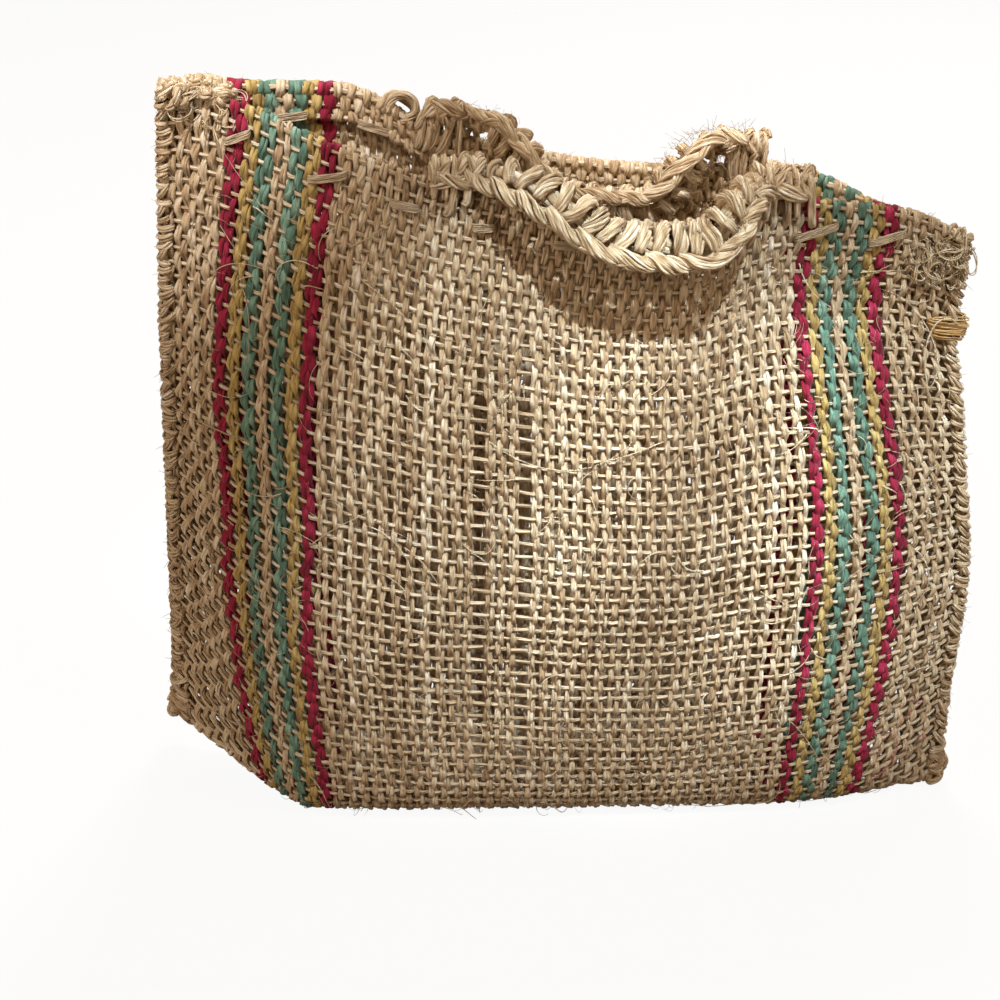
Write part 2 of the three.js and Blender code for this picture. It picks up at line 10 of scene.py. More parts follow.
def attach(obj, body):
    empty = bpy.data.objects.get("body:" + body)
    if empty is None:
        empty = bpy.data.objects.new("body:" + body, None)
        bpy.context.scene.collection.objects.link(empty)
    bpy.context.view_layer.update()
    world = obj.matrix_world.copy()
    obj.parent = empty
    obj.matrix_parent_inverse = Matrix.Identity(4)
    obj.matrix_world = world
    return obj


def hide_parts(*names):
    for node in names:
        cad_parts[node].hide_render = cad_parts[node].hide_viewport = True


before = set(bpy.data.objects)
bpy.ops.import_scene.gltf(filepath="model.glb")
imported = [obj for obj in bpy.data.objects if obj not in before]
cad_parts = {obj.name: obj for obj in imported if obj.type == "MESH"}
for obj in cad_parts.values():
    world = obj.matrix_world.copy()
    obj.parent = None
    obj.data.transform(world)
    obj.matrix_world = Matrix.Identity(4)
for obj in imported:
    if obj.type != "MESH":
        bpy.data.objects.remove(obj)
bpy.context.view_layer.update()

rng = np.random.default_rng(11)


# Camera, light and floor

view = dict(
    azimuth=-4.457, elevation=23.869, roll=1.441,
    target=(0, 0, 0.16), distance=1.143,
    lens=86.0, shift=(-0.0653, -0.0045),
)

fill = dict(kind="AREA", aim=(0, 0, 0.15), colour=(1, 0.83, 0.7), set=dict(size=1.2))
sunlight = dict(kind="SPOT", power=122, colour=(0.72, 0.87, 1.0),
                set=dict(spot_size=0.13, spot_blend=0.75, shadow_soft_size=0.02))
paleSun = dict(kind="SPOT", power=95, colour=(0.9, 0.93, 1))
paleSpot = dict(spot_blend=0.8, shadow_soft_size=0.02)

lamps = dict(
    top=dict(fill, place=(0.1, 0.7, 1.6), aim=(0, 0, 0.3), power=13, colour=(1, 0.97, 0.92), set=dict(size=0.3)),
    left=dict(fill, place=(-1.6, -1.15, 1.2), power=22),
    right=dict(fill, place=(1.6, -1.15, 1.2), power=15),
    behind=dict(fill, place=(0.7, 1.6, 1.1), power=14, colour=(1, 0.88, 0.76)),
    sun_rim=dict(paleSun, place=(-0.3, -0.7, 1.5), aim=(-0.165, 0.03, 0.38), set=dict(paleSpot, spot_size=0.165)),
    sun_handle=dict(paleSun, place=(0.1, -0.5, 1.5), aim=(0.06, 0.045, 0.36), set=dict(paleSpot, spot_size=0.17)),
    sun_left=dict(sunlight, place=(0.2, -0.78, 1.45), aim=(-0.035, -0.045, 0.205)),
    sun_middle=dict(sunlight, place=(0.27, -0.78, 1.45), aim=(0.055, -0.045, 0.185)),
    sun_right=dict(sunlight, place=(0.4, -0.8, 1.4), aim=(0.145, -0.03, 0.18)),
)


def newObject(name, data):
    thing = bpy.data.objects.new(name, data)
    bpy.context.scene.collection.objects.link(thing)
    return thing


def setCamera():
    a, e, r = (math.radians(view[k]) for k in ("azimuth", "elevation", "roll"))
    back = Vector((math.sin(a) * math.cos(e), -math.cos(a) * math.cos(e), math.sin(e)))
    right = Vector((math.cos(a), math.sin(a), 0))
    up = back.cross(right)
    right, up = right * math.cos(r) + up * math.sin(r), up * math.cos(r) - right * math.sin(r)
    data = bpy.data.cameras.new("camera")
    data.lens = view["lens"]
    data.sensor_width = 36
    data.shift_x, data.shift_y = view["shift"]
    camera = newObject("camera", data)
    place = Vector(view["target"]) + back * view["distance"]
    camera.matrix_world = Matrix.Translation(place) @ Matrix((right, up, back)).transposed().to_4x4()
    bpy.context.scene.camera = camera


def setLamps():
    for name, lamp in lamps.items():
        data = bpy.data.lights.new(name, lamp["kind"])
        data.energy = lamp["power"]
        data.color = lamp["colour"]
        for key, value in lamp["set"].items():
            setattr(data, key, value)
        thing = newObject(name, data)
        thing.location = lamp["place"]
        thing.rotation_euler = (Vector(lamp["aim"]) - thing.location).to_track_quat("-Z", "Y").to_euler()


# Materials

class Wire:
    # A socket in a node tree. Sums on it add Math nodes.

    def __init__(self, tree, socket=None):
        self.tree = tree
        self.socket = socket

    def node(self, kind, inputs=None, out=0, **settings):
        made = self.tree.nodes.new("ShaderNode" + kind)
        for key, value in settings.items():
            if key == "stops":
                stops = made.color_ramp.elements
                while len(stops) < len(value):
                    stops.new(0.5)
                for stop, (place, colour) in zip(stops, value):
                    stop.position = place
                    stop.color = (*colour, 1)
            else:
                setattr(made, key, value)
        for key, value in (inputs or {}).items():
            if isinstance(value, Wire):
                self.tree.links.new(value.socket, made.inputs[key])
            else:
                made.inputs[key].default_value = value
        return Wire(self.tree, made.outputs[out] if len(made.outputs) else None)

    def sums(self, operation, *values):
        return self.node("Math", dict(enumerate(values)), operation=operation)

    __add__ = __radd__ = lambda self, other: self.sums("ADD", self, other)
    __sub__ = lambda self, other: self.sums("SUBTRACT", self, other)
    __rsub__ = lambda self, other: self.sums("SUBTRACT", other, self)
    __mul__ = __rmul__ = lambda self, other: self.sums("MULTIPLY", self, other)
    __truediv__ = lambda self, other: self.sums("DIVIDE", self, other)


def linear(*levels):
    return tuple((v / 255 / 12.92) if v <= 10 else ((v / 255 + 0.055) / 1.055) ** 2.4 for v in levels)


def newTree(name):
    material = bpy.data.materials.new(name)
    material.use_nodes = True
    material.node_tree.nodes.clear()
    return material, Wire(material.node_tree)


yarnLook = dict(twist=0.11, contrast=0.9, bump=0.8, bumpDepth=0.0006, sheen=0.1, specular=0.28)


def yarnMaterial(name, colours, ply, strands):
    # Colours run from shade to light. The yarn map has millimetres along, and the strand's number plus the
    # share of the way round it. ply strands in a row make one yarn, which shares its tone.
    material, start = newTree(name)
    node = start.node
    along = node("SeparateXYZ", {0: node("UVMap", uv_map="yarn")})
    across = Wire(start.tree, along.socket.node.outputs[1])
    number = start.sums("FLOOR", across)
    around = across - number
    chance = node("TexWhiteNoise", {"W": number + 0.37}, noise_dimensions="1D")
    yarn = start.sums("FLOOR", (number + 0.5) / ply)
    kind = node("TexWhiteNoise", {"W": yarn + 0.71}, noise_dimensions="1D")
    strand = start.sums("SINE", (around * strands + along * yarnLook["twist"] + chance) * math.tau)
    place = node("CombineXYZ", {0: along * 0.16, 1: around * 16, 2: number * 3.7})
    fibres = node("TexNoise", {"Vector": place, "Scale": 1.0, "Detail": 3.0, "Roughness": 0.6})
    slow = node("CombineXYZ", {0: along * 0.045, 1: yarn * 5.1, 2: 0.0})
    drift = node("TexNoise", {"Vector": slow, "Scale": 1.0, "Detail": 1.0})
    # Random tone of fibres, strands and yarns, plus the strand wave that also raises the bump: it lightens the
    # strands' crowns and darkens the grooves between them, painted shade in the grooves.
    unevenToneAndGrooveShade = [(fibres - 0.5, 1.1), (drift - 0.5, 0.9), (chance - 0.5, 0.24), (kind - 0.5, 0.26), (strand, 0.1)]
    level = 0.5
    for part, share in unevenToneAndGrooveShade:
        level = level + part * (share * yarnLook["contrast"])
    stops = [(i / (len(colours) - 1), linear(*c)) for i, c in enumerate(colours)]
    colour = node("ValToRGB", {0: level}, stops=stops)
    relief = strand * 0.45 + fibres * 0.8
    bump = node("Bump", {"Strength": yarnLook["bump"], "Distance": yarnLook["bumpDepth"], "Height": relief})
    shader = node("BsdfPrincipled", {
        "Base Color": colour, "Roughness": 0.95 - fibres * 0.35, "Normal": bump,
        "Sheen Weight": yarnLook["sheen"], "Specular IOR Level": yarnLook["specular"]})
    node("OutputMaterial", {"Surface": shader})
    return material


finishes = dict(
    # Slot, and colours from shade to light
    natural=("sisal_cloth", [(94, 64, 38), (178, 147, 108), (218, 196, 160), (250, 242, 224)]),
    pale=("pale_sisal", [(134, 104, 70), (208, 182, 144), (244, 232, 208)]),
    rope=("sisal_rope", [(92, 62, 36), (178, 148, 108), (224, 202, 166), (252, 244, 226)]),
    stitch=("sisal_yarn", [(104, 74, 46), (184, 154, 116), (220, 198, 162), (248, 238, 218)]),
    fibre=("pale_sisal", [(160, 120, 76), (222, 198, 156), (252, 244, 222)]),
    gold_fibre=("sisal_yarn", [(140, 96, 50), (206, 162, 100), (240, 212, 158)]),
    pink_fibre=("magenta_yarn", [(176, 60, 80), (214, 110, 120), (230, 170, 160)]),
    magenta=("magenta_yarn", [(70, 4, 18), (146, 20, 48), (198, 54, 92)]),
    yellow=("yellow_yarn", [(112, 84, 42), (184, 154, 88), (224, 200, 134)]),
    green=("green_yarn", [(46, 68, 54), (98, 130, 108), (158, 192, 168)]),
)


def floorMaterial():
    material, start = newTree("floor_paper")
    light = start.node("BsdfDiffuse", {"Color": (0.4, 0.38, 0.35, 1)})
    glow = start.node("Emission", {"Color": (1, 1, 1, 1), "Strength": 1.16})
    seen = start.node("LightPath", out="Is Camera Ray")
    both = start.node("MixShader", {0: seen * 0.8, 1: light, 2: glow})
    start.node("OutputMaterial", {"Surface": both})
    return material


def setStage():
    bpy.ops.mesh.primitive_plane_add(size=8, location=(0, 0, -0.0005))
    floor = bpy.context.object
    floor.name = "floor"
    floor.data.materials.append(floorMaterial())
    world = bpy.data.worlds.new("room")
    bpy.context.scene.world = world
    world.use_nodes = True
    world.node_tree.nodes.clear()
    start = Wire(world.node_tree)
    seen = start.node("LightPath", out="Is Camera Ray")
    dim = start.node("Background", {"Color": (1, 0.78, 0.6, 1), "Strength": 0.07})
    white = start.node("Background", {"Color": (1, 1, 1, 1), "Strength": 1.0})
    both = start.node("MixShader", {0: seen, 1: dim, 2: white})
    start.node("OutputWorld", {"Surface": both})
    bpy.context.scene.view_settings.view_transform = "Standard"


setCamera()
setLamps()
setStage()
plied = ("natural", "magenta", "yellow", "green")
materials = {name: yarnMaterial(name + "_yarn", colours, 3 if name in plied else 1, 3 if name == "pale" else 1)
             for name, (_, colours) in finishes.items()}
print("camera, lamps, floor and yarn finishes are ready")


# Shape of the cloth, repeated from the model's own sizes

shape = dict(
    baseHalfWidth=0.195, rimHalfWidth=0.184, baseHalfDepth=0.036, rimHalfDepth=0.032,
    belly=0.009, bellyRise=1.4, leftRim=0.358, rightRim=0.298,
    bottomRadius=0.02, thickness=0.0024,
    cornerWidth=0.07, cornerSweep=0.05, cornerLift=0.018,
    slumpBulge=0.008, creaseDepth=0.007, creasePinch=0.005,
)

# Millimetres that the rims stand above a straight line between their corners, by place across
rimRise = {
    -1: [(-1, 0), (-0.9, 3), (-0.8, 2), (-0.6, -7), (-0.44, -12), (-0.35, -15.5), (-0.2, -17), (0.1, -19),
         (0.28, -14), (0.46, 0), (0.65, 3), (0.85, 1), (1, -9)],
    1: [(-1, 0), (-0.92, 6), (-0.8, 5.6), (-0.65, 8), (-0.54, 8.6), (-0.42, 0.5), (-0.36, -6), (-0.28, -7.5),
        (0.2, -6.8), (0.34, -2.5), (0.5, 5), (0.64, 4), (0.78, -3), (0.88, -3.5), (1, -9)],
}

weave = dict(
    halfRows=56, hemRows=3, rowPitch=0.0064, clothWidth=0.38,
    pairing=0.19, leftPairing=0.038, leftEnds=8, leftFat=1.12,
    fat=dict(magenta=1.3, green=1.25, yellow=1.12),
    inset=0.0012, hemGap=0.0042, floorGap=0.00205, leastDepth=0.0021,
    warpRise=0.00138, weftRise=0.0004, weftRadius=0.0009, denseWeft=1.45,
    # Of an end over a row and between rows: the widths on the front, then those on the base and the back
    floatHalfWidth=(0.002, 0.0026), neckHalfWidth=(0.00125, 0.0026),
    floatHalfThickness=0.00072, neckHalfThickness=0.00085, strands=3, strandTurn=0.13,
)

ripple = dict(waves=14, height=0.0011)


def mix(a, b, share):
    return a + (b - a) * share


def smooth(value):
    value = np.clip(value, 0, 1)
    return value * value * (3 - 2 * value)


def unit(vectors):
    return vectors / (np.linalg.norm(vectors, axis=-1, keepdims=True) + 1e-12)


def travelled(points):
    # How far along its line each point lies.
    steps = np.linalg.norm(np.diff(points, axis=-2), axis=-1)
    return np.concatenate([np.zeros((*steps.shape[:-1], 1)), np.cumsum(steps, -1)], -1)


def hump(h, level, spread):
    return np.exp(-((h - level) / spread) ** 2)


def cornerShare(u):
    start = 1 - shape["cornerWidth"] / shape["baseHalfWidth"]
    return np.clip((-u - start) / (1 - start), 0, 1) ** 1.2


def curveThrough(pairs, place):
    places, heights = np.array(pairs, float).T
    slopes = np.gradient(heights, places)
    k = np.clip(np.searchsorted(places, place, side="right") - 1, 0, len(places) - 2)
    width = places[k + 1] - places[k]
    t = np.clip((place - places[k]) / width, 0, 1)
    bow = width * t * (1 - t) * (slopes[k] * (1 - t) - slopes[k + 1] * t)
    return mix(heights[k], heights[k + 1], smooth(t)) + bow


def rimHeight(u, side):
    return mix(shape["leftRim"], shape["rightRim"], (u + 1) / 2) + curveThrough(rimRise[side], u) / 1000


def halfDepth(u, h):
    thick = shape["thickness"]
    base = (shape["baseHalfDepth"] - thick) * (1 - np.abs(u) ** 5)
    rim = (shape["rimHalfDepth"] - thick) * (1 - np.abs(u) ** 2.4)
    belly = shape["belly"] * (1 - u * u) * np.sin(math.pi * h ** shape["bellyRise"])
    creased = shape["creaseDepth"] * hump(h, 0.84, 0.08) * smooth((u - 0.3) / 0.5) * (1 - np.abs(u) ** 6)
    return thick + mix(base, rim, smooth(h)) + belly - creased


def sideways(u, h):
    out = shape["slumpBulge"] * hump(h, 0.42, 0.2) - shape["creasePinch"] * hump(h, 0.84, 0.08)
    return np.clip((u - 0.2) / 0.8, 0, 1) ** 1.5 * out


def wallPoint(u, h, side, inset, least=weave["leastDepth"], floorGap=weave["floorGap"]):
    floor = shape["cornerLift"] * cornerShare(u) + floorGap
    z = mix(floor, rimHeight(u, side), h)
    depth = np.maximum(halfDepth(u, h) - inset, least)
    radius = np.minimum(shape["bottomRadius"] - floorGap, depth - 0.0008)
    under = np.clip((radius - (z - floor)) / radius, 0, 1)
    swept = shape["cornerSweep"] * cornerShare(u) * (1 - smooth(h * 1.25))
    y = side * (depth - radius + radius * np.sqrt(1 - under * under)) + swept
    x = u * mix(shape["baseHalfWidth"], shape["rimHalfWidth"], h) + sideways(u, h)
    return np.stack(np.broadcast_arrays(x, y, z), -1)


def facePoint(u, h, side, inset=0.0):
    # A point of the plain model's face, which the yarns stand a little proud of.
    return wallPoint(np.float64(u), np.float64(h), side, inset, 0.0009, 0.0)


def halfProfile(u, side):
    # From the lower edge of the turned-in hem, over the rim, down the wall and in to the middle of the base.
    u = u[:, None]
    inset, turn = weave["inset"], weave["hemGap"] / 2
    floor = shape["cornerLift"] * cornerShare(u) + weave["floorGap"]
    rise = rimHeight(u, side) - floor
    top = 1 - turn / rise
    hemShare = np.linspace(1.25, 0, 30)[None, :]
    hem = wallPoint(u, top - hemShare * weave["hemRows"] * weave["rowPitch"] / rise, side,
                    inset + weave["hemGap"], 0.001)
    outerTop = wallPoint(u, top, side, inset)[:, :1]
    innerTop = hem[:, -1:]
    middle, reach = (outerTop + innerTop) / 2, (outerTop - innerTop) / 2
    angle = np.linspace(math.pi, 0, 14)[None, 1:-1, None]
    fold = middle + reach * np.cos(angle) + np.array([0, 0, turn]) * np.sin(angle)
    radius = np.minimum(shape["bottomRadius"] - weave["floorGap"], halfDepth(u, 0.0) - inset - 0.0008)
    straight = np.linspace(0, 1, 200)[None, :]
    curve = np.linspace(0, math.pi / 2, 28)[None, 1:]
    low = radius / rise
    wall = wallPoint(u, np.concatenate([mix(top, low, straight), low * (1 - np.sin(curve))], 1), side, inset)
    end = wallPoint(u, 0 * u, side, inset)
    end = np.stack([end[..., 0], shape["cornerSweep"] * cornerShare(u), end[..., 2]], -1)
    base = mix(wall[:, -1:], end, np.linspace(0, 1, 12)[None, 1:, None])
    points = np.concatenate([hem, fold, wall, base], 1)
    arcs = travelled(points)
    peak = hem.shape[1] + fold.shape[1] // 2
    return points, arcs - arcs[:, peak:peak + 1]


def rowShares():
    # Rows pack a little closer towards the bottom fold.
    share = np.linspace(0, 1, 400)
    density = 1 + 0.16 * hump(share, 0.86, 0.12) - 0.05 * hump(share, 0.4, 0.2)
    total = np.concatenate([[0], np.cumsum((density[1:] + density[:-1]) / 2)])
    return share, total / total[-1]


def clothTable():
    u = np.linspace(-1, 1, 257)
    half = weave["halfRows"]
    rows = np.arange(-3.375, 2 * half + 3.376, 0.125)
    table = np.zeros((len(u), len(rows), 3))
    share, rowShare = rowShares()
    for side in (-1, 1):
        points, arcs = halfProfile(u, side)
        mine = rows <= half if side < 0 else rows > half
        local = rows[mine] if side < 0 else 2 * half - rows[mine]
        inLoop = np.interp(np.clip(local / half, 0, 1), rowShare, share)
        for i in range(len(u)):
            wanted = np.where(local < 0, local * weave["rowPitch"], inLoop * arcs[i, -1])
            for axis in range(3):
                table[i, mine, axis] = np.interp(wanted, arcs[i], points[i, :, axis])
    return u, rows, table


def tableNormals(table):
    out = np.cross(np.gradient(table, axis=1), np.gradient(table, axis=0))
    return out / np.linalg.norm(out, axis=2, keepdims=True)


def ripples(u, rows):
    # Slow unevenness of hand-woven cloth that has been folded and carried.
    U, S = np.meshgrid(u, rows, indexing="ij")
    lift = np.zeros_like(U)
    for _ in range(ripple["waves"]):
        a, b = rng.uniform(0.5, 5), rng.uniform(0.02, 0.16)
        lift += rng.uniform(0.3, 1) / (1 + a) * np.sin(a * math.pi * U + b * S * math.tau / 2 + rng.uniform(0, 6.3))
    half = weave["halfRows"]
    wall = smooth((half - np.abs(S - half)) / 8) * smooth(np.abs(S - half) / 9)
    return lift * ripple["height"] * wall * smooth((1 - np.abs(U)) / 0.12)


columnU, rowS, clothPoints = clothTable()
clothPoints += tableNormals(clothPoints) * ripples(columnU, rowS)[..., None]
clothNormals = tableNormals(clothPoints)


def lookUp(table, u, s):
    x = np.clip((u - columnU[0]) / (columnU[1] - columnU[0]), 0, len(columnU) - 1.001)
    y = np.clip((s - rowS[0]) / (rowS[1] - rowS[0]), 0, len(rowS) - 1.001)
    i, k = x.astype(int), y.astype(int)
    fx, fy = (x - i)[..., None], (y - k)[..., None]
    return ((table[i, k] * (1 - fx) + table[i + 1, k] * fx) * (1 - fy)
            + (table[i, k + 1] * (1 - fx) + table[i + 1, k + 1] * fx) * fy)


def offCloth(u, s, lift):
    return lookUp(clothPoints, u, s) + lookUp(clothNormals, u, s) * np.asarray(lift)[..., None]


# Where the ends lie across the cloth, by row: edges of the two striped bands, in thousandths of its half width

bandRows = [-4, 0, 7, 14, 21, 28, 36, 44, 52, 56, 60, 84, 112, 116]
bandPlaces = {
    8.5: [-800, -800, -827, -848, -860, -846, -838, -817, -752, -742, -750, -820, -810, -810],
    20.5: [-585, -585, -618, -637, -647, -641, -643, -618, -590, -585, -590, -630, -600, -600],
    88.5: [574, 574, 560, 573, 598, 600, 588, 572, 553, 550, 555, 585, 575, 575],
    100.5: [785, 785, 765, 767, 800, 808, 799, 785, 737, 735, 740, 790, 785, 785],
}
endCount = 112

# Slack columns where the ends have slipped apart: place, first and last row, opening
slips = [
    (43.5, 11, 49, 0.0056), (49.5, 8, 50, 0.0058), (22.5, 27, 46, 0.002), (35.5, 25, 44, 0.0022),
    (37.5, 22, 46, 0.002), (40.5, 24, 48, 0.0022), (62.5, 25, 48, 0.0026), (65.5, 27, 46, 0.0022),
    (69.5, 29, 44, 0.0022), (84.5, 18, 36, 0.0018), (57.5, 33, 48, 0.0018), (31.5, 30, 50, 0.0016),
]


def columnPlaces():
    fine = np.arange(-4, 116.01, 0.25)
    kernel = np.exp(-np.linspace(-2, 2, 33) ** 2)
    kernel /= kernel.sum()
    lines = {}
    for place, values in bandPlaces.items():
        raw = np.interp(fine, bandRows, np.array(values) / 1000)
        lines[place] = np.convolve(np.pad(raw, 16, mode="edge"), kernel, "valid")
    lines[-0.5] = np.full_like(fine, -0.996)
    lines[endCount - 0.5] = np.full_like(fine, 0.996)
    keys = sorted(lines)
    return fine, np.array(keys), np.stack([lines[k] for k in keys])


fineRows, anchorEnds, anchorPlaces = columnPlaces()


def columnAt(j, s):
    # The place across the cloth of end number j at row s.
    j, s = np.broadcast_arrays(np.asarray(j, float), np.asarray(s, float))
    stack = np.stack([np.interp(s, fineRows, line) for line in anchorPlaces], 0)
    k = np.clip(np.searchsorted(anchorEnds, j) - 1, 0, len(anchorEnds) - 2)
    low = np.take_along_axis(stack, k[None], 0)[0]
    high = np.take_along_axis(stack, k[None] + 1, 0)[0]
    share = (j - anchorEnds[k]) / (anchorEnds[k + 1] - anchorEnds[k])
    u = mix(low, high, share)
    for place, first, last, opening in slips:
        near = smooth((s - first) / 5) * smooth((last - s) / 5)
        away = j - place
        u = u + opening / weave["clothWidth"] * np.tanh(away / 0.4) * np.exp(-np.abs(away) / 2.2) * near
    return u


# Yarns as tubes

def sweep(centres, across, widths, heights, sides):
    # centres: yarns x samples x 3. across is the flat side's direction. Returns rings of points.
    travel = unit(np.gradient(centres, axis=1))
    across = unit(across - travel * (across * travel).sum(2, keepdims=True))
    out = np.cross(travel, across)
    angle = np.arange(sides)[:, None] / sides * math.tau
    c = np.cos(angle) * widths[..., None, None]
    d = np.sin(angle) * heights[..., None, None]
    return centres[:, :, None, :] + across[:, :, None, :] * c + out[:, :, None, :] * d


def tubePiece(name, rings, along, finish, body, replaced, first=0):
    # rings: yarns x samples x sides x 3. Each yarn is a closed tube with a flat cap at each end.
    yarns, samples, sides, _ = rings.shape
    index = np.arange(yarns * samples * sides).reshape(yarns, samples, sides)
    turned = np.roll(index, -1, 2)
    quads = np.stack([index[:, :-1], turned[:, :-1], turned[:, 1:], index[:, 1:]], -1).reshape(-1, 4)
    caps = np.concatenate([index[:, 0, ::-1], index[:, -1, :]])
    mesh = bpy.data.meshes.new(name)
    mesh.vertices.add(rings.size // 3)
    mesh.vertices.foreach_set("co", rings.reshape(-1).astype(np.float32))
    corners = np.concatenate([quads.ravel(), caps.ravel()])
    mesh.loops.add(len(corners))
    mesh.loops.foreach_set("vertex_index", corners.astype(np.int32))
    totals = np.concatenate([np.full(len(quads), 4), np.full(len(caps), sides)])
    mesh.polygons.add(len(totals))
    mesh.polygons.foreach_set("loop_start", (np.cumsum(totals) - totals).astype(np.int32))
    mesh.polygons.foreach_set("loop_total", totals.astype(np.int32))
    mesh.polygons.foreach_set("use_smooth", np.ones(len(totals), bool))
    mesh.update(calc_edges=True)
    # Maps: one in millimetres along and shares round, one with a strip for each yarn
    yarn, sample, side = np.meshgrid(np.arange(yarns), np.arange(samples - 1), np.arange(sides), indexing="ij")
    span = np.broadcast_to(along, (yarns, samples))
    ends = np.stack([span[:, :-1], span[:, 1:]], -1)
    yarnMap = np.zeros((*yarn.shape, 4, 2))
    bakeMap = np.zeros((*yarn.shape, 4, 2))
    for corner, (ds, dk) in enumerate(((0, 0), (0, 1), (1, 1), (1, 0))):
        yarnMap[..., corner, 0] = ends[..., ds][..., None] * 1000
        yarnMap[..., corner, 1] = first + yarn + (side + dk) / sides * 0.98
        bakeMap[..., corner, 0] = 0.002 + 0.996 * (sample + ds) / (samples - 1)
        bakeMap[..., corner, 1] = (yarn + 0.06 + 0.88 * (side + dk) / sides) / yarns
    for label, filled in (("yarn", yarnMap), ("OFBake", bakeMap)):
        layer = mesh.uv_layers.new(name=label)
        tail = np.zeros((caps.size, 2))
        tail[:, 0] = 0.001
        yarnOfCap = np.tile(np.arange(yarns), 2)
        tail[:, 1] = np.repeat((yarnOfCap + 0.5) / (1 if label == "yarn" else yarns), sides)
        layer.data.foreach_set("uv", np.concatenate([filled.reshape(-1, 2), tail]).astype(np.float32).ravel())
    mesh.materials.append(materials[finish])
    thing = newObject(name, mesh)
    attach(thing, body)
    if replaced:
        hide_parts(*replaced)


bands = dict(starts=(8, 88), colours=("magenta", "yellow", "green", "natural", "green", "yellow", "magenta"))


def warpColour(j):
    # Each band has two ends of each colour.
    for first in bands["starts"]:
        if first <= j < first + 2 * len(bands["colours"]):
            return bands["colours"][(j - first) // 2]
    return "natural"


def wander(count, length, reach, amount):
    # Smooth random offsets, one line for each yarn.
    knots = rng.normal(0, amount, (count, int(length / reach) + 3))
    places = np.linspace(0, knots.shape[1] - 1.01, length)
    low = places.astype(int)
    share = smooth(places - low)
    return knots[:, low] * (1 - share) + knots[:, low + 1] * share


def warpRings(ends):
    rows = np.arange(-17 / 6, 2 * weave["halfRows"] + 17 / 6 + 0.01, 1 / 3)
    count, length = len(ends), len(rows)

    def drift(reach, amount):
        return wander(count, length, reach, amount)

    j = ends[:, None]
    s = rows[None, :] + 0 * j
    pairing = np.where(j < weave["leftEnds"], weave["leftPairing"], weave["pairing"])
    j = j + pairing * smooth((s - 3) / 8) * (1 - smooth((s - 48) / 6)) * np.where(j % 2 > 0, -1, 1)
    u = np.clip(columnAt(j + drift(9, 0.06) + drift(3, 0.03), s), -0.994, 0.994)
    point = lookUp(clothPoints, u, s)
    normal = lookUp(clothNormals, u, s)
    wave = np.cos(math.pi * (s - 0.5 + ends[:, None]))
    rise = np.sign(wave) * np.abs(wave) ** 0.8 * weave["warpRise"] * (1 + drift(4, 0.08))
    step = 0.01
    acrossCloth = lookUp(clothPoints, u + step, s) - lookUp(clothPoints, u - step, s)
    acrossCloth /= np.linalg.norm(acrossCloth, axis=2, keepdims=True)
    full = np.abs(wave) ** 0.7
    slack = 1 - 0.22 * hump(s, 36, 17) * (np.abs(u) < 0.62) + drift(4, 0.08)
    slack = slack * np.array([[weave["fat"].get(warpColour(end), weave["leftFat"] if end < weave["leftEnds"] else 1)]
                              for end in ends])
    close = smooth((s - 50) / 5)
    width = mix(mix(*weave["neckHalfWidth"], close), mix(*weave["floatHalfWidth"], close), full) * slack
    height = mix(weave["neckHalfThickness"], weave["floatHalfThickness"], full) * (1 + drift(4, 0.07))
    rings = []
    for k in range(weave["strands"]):
        turn = math.tau * (k / weave["strands"] + weave["strandTurn"] * s + ends[:, None] * 0.37)
        turn = turn + drift(5, 0.7)
        spread = 1 + drift(3, 0.22)
        centre = point + normal * (rise + np.sin(turn) * height * 0.42)[..., None]
        centre = centre + acrossCloth * (np.cos(turn) * width * 0.5 * spread)[..., None]
        thick = 1 + drift(3, 0.17)
        rings.append(sweep(centre, acrossCloth, width * 0.54 * thick, height * 0.74 * thick, 5))
    rings = np.stack(rings, 1).reshape(count * weave["strands"], length, 5, 3)
    return rings, rows * weave["rowPitch"]


def makeWarp():
    ends = np.arange(endCount)
    colours = np.array([warpColour(j) for j in ends])
    groups = [("warp_" + name, ends[colours == name], name) for name in ("magenta", "yellow", "green")]
    natural = ends[colours == "natural"]
    groups += [(f"warp_natural_{k + 1}", part, "natural") for k, part in enumerate(np.array_split(natural, 6))]
    for name, mine, colour in groups:
        rings, along = warpRings(mine)
        tubePiece(name, rings, along, colour, "bag", ["woven_body"], int(mine[0]) * weave["strands"])


def makeWeft():
    half, hem = weave["halfRows"], weave["hemRows"]
    parts = {"weft_front": (-hem, half - 3), "weft_base": (half - 3, half + 3),
             "weft_back": (half + 3, 2 * half + hem)}
    for name, (low, high) in parts.items():
        rows = np.arange(low, high)
        j = np.arange(-0.5, endCount - 0.49, 0.5)[None, :]
        s = rows[:, None] + 0.5 + wander(len(rows), j.shape[1], 26, 0.07)
        u = columnAt(j + 0 * s, s)
        wave = np.cos(math.pi * (rows[:, None] + j))
        centre = offCloth(u, s, -wave * weave["weftRise"])
        radius = weave["weftRadius"] * (1 + wander(len(rows), j.shape[1], 16, 0.1))
        radius = radius * (weave["denseWeft"] if low > 0 else 1)
        rings = sweep(centre, lookUp(clothNormals, u, s), radius * 0.92, radius, 6)
        along = np.broadcast_to(np.linspace(0, weave["clothWidth"], j.shape[1])[None, :], radius.shape)
        tubePiece(name, rings, along, "pale", "bag", ["woven_body"], int(low) + 400)


makeWarp()
makeWeft()
print("cloth is woven")


# Bundles of fine strands

def smoothLine(points, count):
    points = np.asarray(points, float)
    padded = np.concatenate([2 * points[:1] - points[1:2], points, 2 * points[-1:] - points[-2:-1]])
    t = np.linspace(0, len(points) - 1, count)
    k = np.minimum(t.astype(int), len(points) - 2)
    f = (t - k)[:, None]
    a, b, c, d = (padded[k + i] for i in range(4))
    return 0.5 * (2 * b + (c - a) * f + (2 * a - 5 * b + 4 * c - d) * f ** 2 + (3 * b - a - 3 * c + d) * f ** 3)


